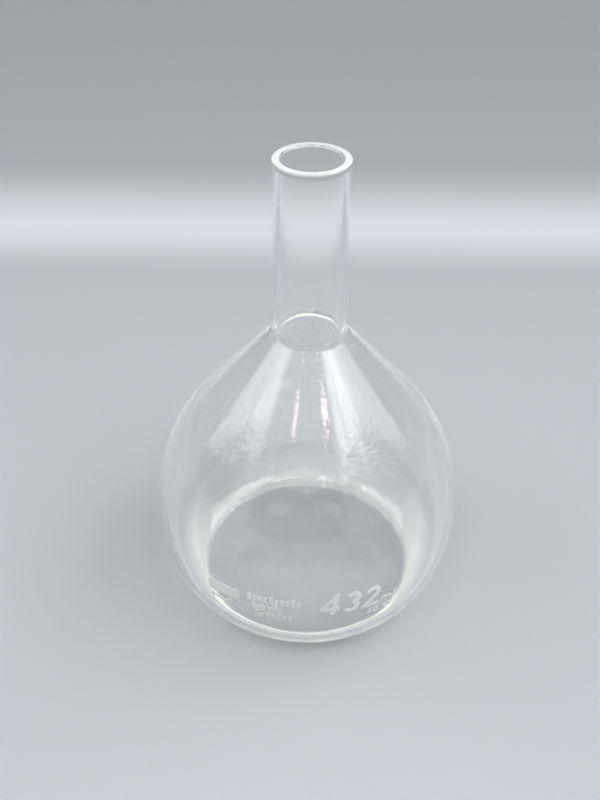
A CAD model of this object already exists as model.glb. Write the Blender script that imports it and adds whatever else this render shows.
import bpy
import math
from mathutils import Matrix, Vector, noise


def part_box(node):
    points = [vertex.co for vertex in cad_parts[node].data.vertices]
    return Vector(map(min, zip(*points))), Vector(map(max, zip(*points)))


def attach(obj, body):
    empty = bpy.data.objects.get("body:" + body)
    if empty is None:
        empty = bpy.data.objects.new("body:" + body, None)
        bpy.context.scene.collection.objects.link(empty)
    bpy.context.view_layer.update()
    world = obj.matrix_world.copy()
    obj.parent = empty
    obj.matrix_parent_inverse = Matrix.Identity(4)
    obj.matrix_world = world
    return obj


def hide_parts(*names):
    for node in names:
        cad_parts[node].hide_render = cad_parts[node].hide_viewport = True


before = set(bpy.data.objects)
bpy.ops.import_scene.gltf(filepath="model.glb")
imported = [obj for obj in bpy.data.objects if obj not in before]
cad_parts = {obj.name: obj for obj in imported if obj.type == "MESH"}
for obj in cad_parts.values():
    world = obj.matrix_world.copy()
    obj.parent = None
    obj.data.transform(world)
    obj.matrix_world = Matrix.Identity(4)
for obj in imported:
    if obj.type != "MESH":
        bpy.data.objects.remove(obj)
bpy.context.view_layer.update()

MM = 0.001

# ---------------------------------------------------------------- the flask's own measures, in metres
BULB_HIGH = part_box("bulb")[1]
NECK_LOW, NECK_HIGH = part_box("neck")
HEIGHT = NECK_HIGH.z
WELD_Z = NECK_LOW.z
BULB_R = BULB_HIGH.x
RIM_R = NECK_HIGH.x
# the rim stands out from the neck by its lip, and both its edges are rounded
RIM_LIP = 0.2 * MM
RIM_ROUND_OUT = 0.5 * MM
RIM_ROUND_IN = 0.2 * MM
WALL = 1.8 * MM
NECK_R = RIM_R - RIM_LIP
BORE_R = NECK_R - WALL
FOOT_T = 2.6 * MM
# the curves of the outline, from the throat down to the heel
THROAT_R = 5 * MM
SHOULDER_R = 55 * MM
SHOULDER_LEAN = math.radians(40.5)
SIDE_R = 70 * MM
SIDE_TURN = math.radians(10)
LOWER_R = 35 * MM
HEEL_R = 3 * MM
HEEL_IN_R = 6 * MM
# the shallow hollow under the foot
PUNT_R = 29 * MM
PUNT_RISE = 0.8 * MM
# the belt's height follows from the weld's, going down the throat, the cone and the shoulder
CONE_TOP_R = NECK_R + THROAT_R * (1 - math.cos(SHOULDER_LEAN))
CONE_LOW_R = BULB_R - SHOULDER_R * (1 - math.cos(SHOULDER_LEAN))
CONE_TOP_Z = WELD_Z - THROAT_R * math.sin(SHOULDER_LEAN)
CONE_LOW_Z = CONE_TOP_Z - (CONE_LOW_R - CONE_TOP_R) / math.tan(SHOULDER_LEAN)
BELT_Z = CONE_LOW_Z - SHOULDER_R * math.sin(SHOULDER_LEAN)

# how finely the mesh is cut: along its outline, round its axis and across the punt
STEP = 0.9 * MM
SEGMENTS = 224
PUNT_STEPS = 30

# the blown surface is uneven in slow swells, in fine streaks and in rings near the weld
SWELL_SIZE, SWELL_DEPTH = 18 * MM, 0.08 * MM
STREAK_SIZE, STREAK_DEPTH = 5 * MM, 0.008 * MM
RINGS_Z, RINGS_REACH = WELD_Z - 4 * MM, 6 * MM
RING_PITCH, RING_DEPTH, RING_WOBBLE = 2.6 * MM, 0.07 * MM, 1.2 * MM
# it is true at the standing foot and the rim, and nearly true in the neck
TRUE_FOOT, FOOT_FADE = 1.5 * MM, 3 * MM
TRUE_RIM = 2 * MM
NECK_SHARE, NECK_Z, NECK_FADE = 0.12, WELD_Z + 10 * MM, 14 * MM
# how far down the grinding reaches, on the rim's top and on its outer rounding
GROUND_TOP, GROUND_ROUNDING = 0.05 * MM, 0.2 * MM

# ---------------------------------------------------------------- looks
GLASS_IOR = 1.473
CORD_SCALE, PEEL_SCALE, ENAMEL_SCALE, RIM_SCALE = 170.0, 900.0, 2600.0, 1500.0
# share of the relief over the height, foot 0 to rim 1: flame-worked at the shoulder, drawn tube above
WORKED = ((0.02, 0.28), (0.05, 0.12), (0.30, 0.12), (0.45, 0.3), (0.64, 0.3), (0.72, 0.005))
# share of a lamp's light that one face of the glass lets through, from head-on to edge-on
LET_THROUGH = ((0.35, 0.93), (0.95, 0.35))
# tone of the paper from PAPER_NEAR to PAPER_FAR, in metres behind the flask's axis: one pale band
PAPER_NEAR, PAPER_FAR = 0.19, 0.40
PAPER_TONES = ((0.03, 0.318), (0.24, 0.455), (0.52, 0.262), (1.0, 0.252))
PAPER_TINT = (0.97, 1.0, 1.05)
# brightness of the room from its left side, -1, to its right side, 1: a window in each
ROOM_TONES = (
    (-1.0, 0.16), (-0.90, 0.40), (-0.74, 0.64), (-0.62, 0.16),
    (0.40, 0.16), (0.52, 0.72), (0.74, 0.86), (0.90, 0.38), (1.0, 0.18),
)
ROOM_TINT = (0.98, 1.0, 1.01)
ROOM_STRENGTH = 7.0
# soft lights by name: azimuth and elevation in degrees, size in metres, radiance, colour
WHITE, ROSE = (1, 1, 1), (1, 0.72, 0.78)
PANEL_DISTANCE = 1.2
PANELS = {
    "ceiling_left": (-27, 62, (0.3, 0.3), 9, WHITE),
    "ceiling_right": (33, 62, (0.3, 0.3), 9, WHITE),
    "lamp_left": (-19.2, 40.6, (0.1, 0.04), 11, ROSE),
    "lamp_right": (25, 40.2, (0.14, 0.04), 11, ROSE),
    "window_back_left": (-171.5, 40, (0.10, 0.06), 95, WHITE),
    "window_back_right": (171.5, 40, (0.10, 0.06), 95, WHITE),
}
# the camera's place, its tilt down from level, its roll and its lens
EYE = (-0.0175 * HEIGHT, -1.479 * HEIGHT, 1.642 * HEIGHT)
EYE_PITCH = math.radians(38.27)
EYE_ROLL = math.radians(0.44)
EYE_LENS = 41.25
# light runs a long way round inside a glass wall before it leaves
BOUNCES = 80
BRIGHTEST_BOUNCE = 100


# ---------------------------------------------------------------- the outline
def arc(centre, radius, start, end, step):
    """Points on an arc in the (r, z) half plane, angles in radians from the horizontal."""
    count = max(3, math.ceil(abs(end - start) * radius / step))
    turn = [start + (end - start) * i / count for i in range(count + 1)]
    return [(centre[0] + radius * math.cos(a), centre[1] + radius * math.sin(a)) for a in turn]


def line(start, end, step):
    """Points on a straight stretch, at most a step apart."""
    count = max(1, math.ceil(math.dist(start, end) / step))
    return [
        (start[0] + (end[0] - start[0]) * i / count, start[1] + (end[1] - start[1]) * i / count)
        for i in range(count + 1)
    ]


def join(*stretches):
    """One line of points, without the doubled point where two stretches meet."""
    points = []
    for stretch in stretches:
        for p in stretch:
            if not points or math.dist(points[-1], p) > 1e-7:
                points.append(p)
    return points


def punt(floor_z):
    """The hollow under the foot, from its middle outwards. Both faces of the glass share one centre."""
    curve_r = (PUNT_R**2 + PUNT_RISE**2) / (2 * PUNT_RISE)
    ball_r = curve_r + floor_z
    radii = [PUNT_R * i / PUNT_STEPS for i in range(PUNT_STEPS + 1)]
    return [(r, PUNT_RISE - curve_r + math.sqrt(ball_r**2 - r**2)) for r in radii]


def skin(inset, heel_radius, floor_z, step):
    """The bulb's outline from the foot's middle up to the weld, inset from the outside."""
    side_c = (BULB_R - SIDE_R, BELT_Z)
    gap = SIDE_R - LOWER_R
    lower_c = (side_c[0] + gap * math.cos(SIDE_TURN), side_c[1] - gap * math.sin(SIDE_TURN))
    lower_r = LOWER_R - inset
    rise = lower_c[1] - floor_z - heel_radius
    heel_c = (lower_c[0] + math.sqrt((lower_r - heel_radius) ** 2 - rise**2), floor_z + heel_radius)
    heel_turn = math.atan2(heel_c[1] - lower_c[1], heel_c[0] - lower_c[0])
    hollow = punt(floor_z)
    shoulder_c = (BULB_R - SHOULDER_R, BELT_Z)
    normal = (math.cos(SHOULDER_LEAN), math.sin(SHOULDER_LEAN))
    cone_low = (CONE_LOW_R - inset * normal[0], CONE_LOW_Z - inset * normal[1])
    cone_top = (CONE_TOP_R - inset * normal[0], CONE_TOP_Z - inset * normal[1])
    throat_c = (NECK_R + THROAT_R, WELD_Z)
    return join(
        hollow,
        line(hollow[-1], (heel_c[0], floor_z), step),
        arc(heel_c, heel_radius, -math.pi / 2, heel_turn, step / 3),
        arc(lower_c, lower_r, heel_turn, -SIDE_TURN, step),
        arc(side_c, SIDE_R - inset, -SIDE_TURN, 0, step),
        arc(shoulder_c, SHOULDER_R - inset, 0, SHOULDER_LEAN, step),
        line(cone_low, cone_top, step),
        arc(throat_c, THROAT_R + inset, math.pi + SHOULDER_LEAN, math.pi, step / 2),
    )


def glass_outline(step):
    """The closed outline in two parts: outside from foot to rim and over it, inside back down."""
    out_c = (RIM_R - RIM_ROUND_OUT, HEIGHT - RIM_ROUND_OUT)
    in_c = (BORE_R + RIM_ROUND_IN, HEIGHT - RIM_ROUND_IN)
    dip = math.acos((NECK_R - out_c[0]) / RIM_ROUND_OUT)
    neck_top = out_c[1] - RIM_ROUND_OUT * math.sin(dip)
    outside = join(
        skin(0, HEEL_R, 0, step),
        line((NECK_R, WELD_Z), (NECK_R, neck_top), step),
        arc(out_c, RIM_ROUND_OUT, -dip, math.pi / 2, step / 8),
        line((out_c[0], HEIGHT), (in_c[0], HEIGHT), step / 4),
        arc(in_c, RIM_ROUND_IN, math.pi / 2, math.pi, step / 8),
    )
    inside = join(
        line((BORE_R, in_c[1]), (BORE_R, WELD_Z), step),
        list(reversed(skin(WALL, HEEL_IN_R, FOOT_T, step))),
    )
    return outside, inside


# ---------------------------------------------------------------- the blown surface
def wander(point, seed):
    """How far swells and streaks move the surface, in metres, along the radius."""
    upright = Vector((point.x, point.y, point.z * 0.45))
    swell = noise.noise(point / SWELL_SIZE + Vector((seed, 0, 0)))
    streak = noise.noise(upright / STREAK_SIZE + Vector((0, seed, 0)))
    return SWELL_DEPTH * swell + STREAK_DEPTH * streak


def weld_ripple(point, seed):
    """Low rings left in the glass where neck and bulb were fused."""
    away = (point.z - RINGS_Z) / RINGS_REACH
    if abs(away) > 2.5:
        return 0.0
    wobble = noise.noise(point / (7 * MM) + Vector((0, 0, seed)))
    wave = math.sin((point.z + RING_WOBBLE * wobble) / RING_PITCH * math.tau)
    return RING_DEPTH * wave * math.exp(-away * away)


def freedom(z):
    """Share of the unevenness at a height: none at the standing foot and the rim, little in the neck."""
    if z >= HEIGHT - TRUE_RIM:
        return 0.0
    above_foot = min(1.0, max(0.0, (z - TRUE_FOOT) / FOOT_FADE))
    below_neck = min(1.0, max(NECK_SHARE, (NECK_Z - z) / NECK_FADE))
    return above_foot * below_neck


def ring(r, z, seed, share):
    """The vertices of one outline point turned round the axis, with its share of the unevenness."""
    points = []
    for s in range(SEGMENTS):
        a = math.tau * s / SEGMENTS
        p = Vector((r * math.cos(a), r * math.sin(a), z))
        shifted = r + share * freedom(z) * (wander(p, seed) + weld_ripple(p, seed))
        points.append((shifted * math.cos(a), shifted * math.sin(a), z))
    return points


def bridge(low, high):
    """Faces between two neighbouring rows of vertex numbers. A row on the axis has only one."""
    faces = []
    for s in range(SEGMENTS):
        t = (s + 1) % SEGMENTS
        if len(low) == 1:
            faces.append((low[0], high[t], high[s]))
        elif len(high) == 1:
            faces.append((low[s], low[t], high[0]))
        else:
            faces.append((low[s], low[t], high[t], high[s]))
    return faces


def mesh_object(name, verts, faces, *materials):
    """A smooth mesh in the scene."""
    mesh = bpy.data.meshes.new(name)
    mesh.from_pydata(verts, [], faces)
    mesh.validate()
    mesh.shade_smooth()
    for material in materials:
        mesh.materials.append(material)
    obj = bpy.data.objects.new(name, mesh)
    bpy.context.scene.collection.objects.link(obj)
    return obj


def blown_glass():
    """Bulb and neck as one closed wall: the outside and inside outlines turned round the axis."""
    outside, inside = glass_outline(STEP)
    verts, rows, faces = [], [], []
    # each outline has its own noise and its own share of the unevenness
    for outline, seed, share in ((outside, 3.0, 0.3), (inside, 11.0, 0.4)):
        for r, z in outline:
            points = [(0.0, 0.0, z)] if r < 1e-6 else ring(r, z, seed, share)
            rows.append(range(len(verts), len(verts) + len(points)))
            verts.extend(points)
    for low, high in zip(rows, rows[1:]):
        faces.extend(bridge(low, high))
    flask = mesh_object("flask_glass", verts, faces, glass_material(), ground_glass_material())
    mark_ground_rim(flask)
    return flask


def mark_ground_rim(flask):
    """The rim's top and its outer rounding take the second material."""
    for face in flask.data.polygons:
        depth = GROUND_ROUNDING if face.center.xy.length > RIM_R - RIM_ROUND_OUT else GROUND_TOP
        face.material_index = int(face.center.z > HEIGHT - depth)


# ---------------------------------------------------------------- shader nodes
def node_material(name):
    """A new material, its node tree and its main shader."""
    mat = bpy.data.materials.new(name)
    mat.use_nodes = True
    tree = mat.node_tree
    return mat, tree, tree.nodes["Principled BSDF"]


def feed(tree, node, inputs):
    """Fill a node's inputs, each with a value or from another node's socket."""
    for key, value in inputs.items():
        if isinstance(value, bpy.types.NodeSocket):
            tree.links.new(value, node.inputs[key])
        else:
            node.inputs[key].default_value = value


def add(tree, kind, inputs=None, **settings):
    """A new node with its settings and inputs."""
    node = tree.nodes.new(kind)
    for key, value in settings.items():
        setattr(node, key, value)
    feed(tree, node, inputs or {})
    return node


def fit(tree, value, start, end, low=0.0, high=1.0):
    """A value between start and end, fitted to the span from low to high and held inside it."""
    limits = {"Value": value, "From Min": start, "From Max": end, "To Min": low, "To Max": high}
    return add(tree, "ShaderNodeMapRange", limits).outputs["Result"]


def product(tree, first, second):
    """The product of two values."""
    return add(tree, "ShaderNodeMath", {0: first, 1: second}, operation="MULTIPLY").outputs["Value"]


def scale_add(tree, value, factor, other):
    """The value times the factor, plus the other."""
    terms = {0: value, 1: factor, 2: other}
    return add(tree, "ShaderNodeMath", terms, operation="MULTIPLY_ADD").outputs["Value"]


def dim(tree, colour, share):
    """The colour times the share."""
    node = add(tree, "ShaderNodeVectorMath", {0: colour, 1: share}, operation="MULTIPLY")
    return node.outputs["Vector"]


def speckle(tree, where, scale, detail, distortion=0.0):
    """Noise over a place, about 0.5."""
    inputs = {"Vector": where, "Scale": scale, "Detail": detail, "Distortion": distortion}
    return add(tree, "ShaderNodeTexNoise", inputs).outputs["Fac"]


def bumped(tree, height, strength, distance):
    """The normal of a surface with a height field on it."""
    inputs = {"Height": height, "Strength": strength, "Distance": distance}
    return add(tree, "ShaderNodeBump", inputs).outputs["Normal"]


def blend(tree, factor, first, second):
    """The first shader, turning into the second as the factor goes from 0 to 1."""
    return add(tree, "ShaderNodeMixShader", {0: factor, 1: first, 2: second}).outputs["Shader"]


def ramp(tree, factor, stops, interpolation="LINEAR"):
    """The colour at a factor along (place, colour) stops."""
    node = add(tree, "ShaderNodeValToRGB", {"Fac": factor})
    node.color_ramp.interpolation = interpolation
    elements = node.color_ramp.elements
    for i, (place, colour) in enumerate(stops):
        stop = elements[i] if i < 2 else elements.new(place)
        stop.position = place
        stop.color = (*colour, 1)
    return node.outputs["Color"]


def tinted(stops, tint=(1, 1, 1)):
    """Stops with a colour made from (place, level) stops and one tint."""
    return [(place, [level * part for part in tint]) for place, level in stops]


# ---------------------------------------------------------------- materials
def glass_relief(tree, where, height):
    """The glass's normal, with the faint cords and orange peel of blown work."""
    stretched = add(tree, "ShaderNodeMapping", {"Vector": where, "Scale": (1, 1, 0.35)}).outputs["Vector"]
    cords = speckle(tree, stretched, CORD_SCALE, 2.0, distortion=0.6)
    peel = speckle(tree, stretched, PEEL_SCALE, 2.0)
    worked = ramp(tree, fit(tree, height, 0.0, HEIGHT), tinted(WORKED))
    relief = product(tree, scale_add(tree, peel, 0.5, cords), worked)
    return bumped(tree, relief, 1.0, 0.18 * MM)


def lamplight_through(tree, height, slant):
    """What the glass lets through of a lamp's light: less edge-on and less near the foot."""
    facing = ramp(tree, slant, tinted(LET_THROUGH))
    near_foot = fit(tree, height, 0.0, 70 * MM, 0.72, 1.0)
    return add(tree, "ShaderNodeBsdfTransparent", {"Color": dim(tree, facing, near_foot)}).outputs["BSDF"]


def heel_glow(tree, where, height, slant):
    """Strength of a faint glow at the heel, for the light that the wall carries down to its edge."""
    flat = dim(tree, where, (1, 1, 0))
    radius = add(tree, "ShaderNodeVectorMath", {0: flat}, operation="LENGTH").outputs["Value"]
    outside_foot = fit(tree, radius, 34 * MM, 36 * MM, 0.0, 0.27)
    above_floor = fit(tree, height, 2 * MM, 14 * MM, 1.0, 0.0)
    grazing = fit(tree, slant, 0.15, 0.6, 0.2, 1.0)
    return product(tree, product(tree, outside_foot, above_floor), grazing)


def glass_material():
    """Clear borosilicate glass. Lamps shine through it to what stands behind."""
    mat, tree, shader = node_material("borosilicate_glass")
    where = add(tree, "ShaderNodeTexCoord").outputs["Object"]
    height = add(tree, "ShaderNodeSeparateXYZ", {"Vector": where}).outputs["Z"]
    slant = add(tree, "ShaderNodeLayerWeight", {"Blend": 0.5}).outputs["Facing"]
    shadow_ray = add(tree, "ShaderNodeLightPath").outputs["Is Shadow Ray"]
    absorb = add(tree, "ShaderNodeVolumeAbsorption", {"Color": (0.62, 0.86, 0.72, 1), "Density": 1.0})
    feed(tree, shader, {
        "Base Color": (0.997, 1.0, 0.998, 1),
        "Roughness": 0.0,
        "IOR": GLASS_IOR,
        "Transmission Weight": 1.0,
        "Normal": glass_relief(tree, where, height),
        "Emission Color": (0.97, 1.0, 0.88, 1),
        "Emission Strength": heel_glow(tree, where, height, slant),
    })
    clear = lamplight_through(tree, height, slant)
    feed(tree, tree.nodes["Material Output"], {
        "Surface": blend(tree, shadow_ray, shader.outputs["BSDF"], clear),
        "Volume": absorb.outputs["Volume"],
    })
    return mat


def grained(tree, scale, dark, light, rough):
    """Noise, the colour it gives between two (place, colour) stops, and the roughness it gives."""
    where = add(tree, "ShaderNodeTexCoord").outputs["Object"]
    grain = speckle(tree, where, scale, 3.0)
    return grain, ramp(tree, grain, (dark, light)), fit(tree, grain, 0.0, 1.0, *rough)


def ground_glass_material():
    """The rim's top, ground flat and fire-finished: it scatters the light that the wall carries up."""
    mat, tree, shader = node_material("ground_rim")
    dark, light = (0.3, (0.57, 0.59, 0.59)), (0.7, (0.72, 0.74, 0.74))
    _, tone, roughness = grained(tree, RIM_SCALE, dark, light, (0.3, 0.5))
    feed(tree, shader, {
        "Base Color": tone,
        "Roughness": roughness,
        "IOR": GLASS_IOR,
        "Transmission Weight": 0.5,
    })
    return mat


def enamel_material():
    """Fired white screen print: matt, and thin enough to let some light through."""
    mat, tree, shader = node_material("fired_enamel")
    dark, light = (0.3, (0.80, 0.82, 0.81)), (0.6, (0.87, 0.88, 0.87))
    grain, tone, roughness = grained(tree, ENAMEL_SCALE, dark, light, (0.35, 0.65))
    feed(tree, shader, {
        "Base Color": tone,
        "Roughness": roughness,
        "Normal": bumped(tree, grain, 0.3, 0.03 * MM),
    })
    through = add(tree, "ShaderNodeBsdfTranslucent", {"Color": (0.87, 0.88, 0.87, 1)}).outputs["BSDF"]
    surface = blend(tree, 0.5, shader.outputs["BSDF"], through)
    feed(tree, tree.nodes["Material Output"], {"Surface": surface})
    return mat


def paper_material():
    """Pale matt backdrop paper, with a paler band across it behind the flask."""
    mat, tree, shader = node_material("backdrop_paper")
    where = add(tree, "ShaderNodeTexCoord").outputs["Object"]
    depth = add(tree, "ShaderNodeSeparateXYZ", {"Vector": where}).outputs["Y"]
    along = fit(tree, depth, PAPER_NEAR, PAPER_FAR)
    feed(tree, shader, {
        "Base Color": ramp(tree, along, tinted(PAPER_TONES, PAPER_TINT), "EASE"),
        "Roughness": 0.7,
        "Specular IOR Level": 0.2,
    })
    return mat


# ---------------------------------------------------------------- surroundings
def backdrop():
    """Floor that sweeps up into a wall behind the flask, a hair below the foot."""
    back, bend, reach, tall, gap = 0.20, 0.30, 2.5, 0.6, 0.05 * MM
    bend_steps = 32
    curve = [(-reach, -gap), (back, -gap)]
    for i in range(1, bend_steps + 1):
        a = math.pi / 2 * i / bend_steps
        curve.append((back + bend * math.sin(a), bend * (1 - math.cos(a)) - gap))
    curve.append((back + bend, tall))
    verts = [(x, y, z) for y, z in curve for x in (-reach, reach)]
    faces = [(2 * i, 2 * i + 1, 2 * i + 3, 2 * i + 2) for i in range(len(curve) - 1)]
    return mesh_object("backdrop", verts, faces, paper_material())


def soft_panel(name, azimuth, elevation, size, radiance, colour):
    """Soft light aimed at the flask. Azimuth 0 is the marking's side, positive to its right."""
    data = bpy.data.lights.new(name, "AREA")
    data.shape = "RECTANGLE"
    data.size, data.size_y = size
    data.energy = radiance * math.pi * size[0] * size[1]
    data.color = colour
    a, e = math.radians(azimuth), math.radians(elevation)
    way = Vector((math.sin(a) * math.cos(e), -math.cos(a) * math.cos(e), math.sin(e)))
    obj = bpy.data.objects.new(name, data)
    obj.location = Vector((0, 0, HEIGHT / 2)) + PANEL_DISTANCE * way
    obj.rotation_euler = way.to_track_quat("Z", "Y").to_euler()
    obj.visible_camera = False
    bpy.context.scene.collection.objects.link(obj)


def room_pale_part(tree, way):
    """1 in the pale part of the room, above two slanting planes that rise towards the sides."""
    aside = add(tree, "ShaderNodeMath", {0: way["X"]}, operation="ABSOLUTE").outputs["Value"]
    above = scale_add(tree, way["Y"], 0.60, scale_add(tree, aside, -0.35, way["Z"]))
    return fit(tree, above, -0.03, 0.03, 0.15, 1.0)


def room():
    """The room's own light: pale ceiling, tall windows left and right, dark towards the camera's side."""
    world = bpy.data.worlds.new("room")
    world.use_nodes = True
    tree = world.node_tree
    where = add(tree, "ShaderNodeTexCoord").outputs["Generated"]
    way = add(tree, "ShaderNodeSeparateXYZ", {"Vector": where}).outputs
    stops = [((1 + side) / 2, level) for side, level in ROOM_TONES]
    tone = ramp(tree, fit(tree, way["X"], -1.0, 1.0), tinted(stops, ROOM_TINT))
    # what stands in front of the windows breaks them up
    clutter = fit(tree, speckle(tree, where, 20.0, 3.0), 0.35, 0.65, 0.7, 1.3)
    shade = tree.nodes["Background"]
    feed(tree, shade, {
        "Color": dim(tree, tone, clutter),
        "Strength": product(tree, room_pale_part(tree, way), ROOM_STRENGTH),
    })
    # past the paper's edge the camera sees a plain wall
    plain = add(tree, "ShaderNodeBackground", {"Color": (0.40, 0.41, 0.43, 1)})
    camera_ray = add(tree, "ShaderNodeLightPath").outputs["Is Camera Ray"]
    surface = blend(tree, camera_ray, shade.outputs["Background"], plain.outputs["Background"])
    feed(tree, tree.nodes["World Output"], {"Surface": surface})
    bpy.context.scene.world = world


def camera():
    """Eye above and in front of the flask, looking down at it."""
    data = bpy.data.cameras.new("camera")
    data.lens = EYE_LENS
    data.clip_start = 0.01
    obj = bpy.data.objects.new("camera", data)
    obj.matrix_world = (
        Matrix.Translation(EYE)
        @ Matrix.Rotation(math.pi / 2 - EYE_PITCH, 4, "X")
        @ Matrix.Rotation(EYE_ROLL, 4, "Z")
    )
    bpy.context.scene.collection.objects.link(obj)
    bpy.context.scene.camera = obj


def long_light_paths():
    """Let light bounce often enough in the glass, and keep its small bright reflections."""
    cycles = bpy.context.scene.cycles
    for kind in ("max_bounces", "glossy_bounces", "transmission_bounces", "transparent_max_bounces"):
        setattr(cycles, kind, BOUNCES)
    cycles.sample_clamp_indirect = BRIGHTEST_BOUNCE


camera()
flask = blown_glass()
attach(flask, "root")
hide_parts("bulb", "neck")

enamel = enamel_material()
for name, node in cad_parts.items():
    if name not in ("bulb", "neck"):
        node.data.materials.clear()
        node.data.materials.append(enamel)

backdrop()
room()
for name, panel in PANELS.items():
    soft_panel(name, *panel)
bpy.context.scene.view_settings.view_transform = "Standard"
long_light_paths()
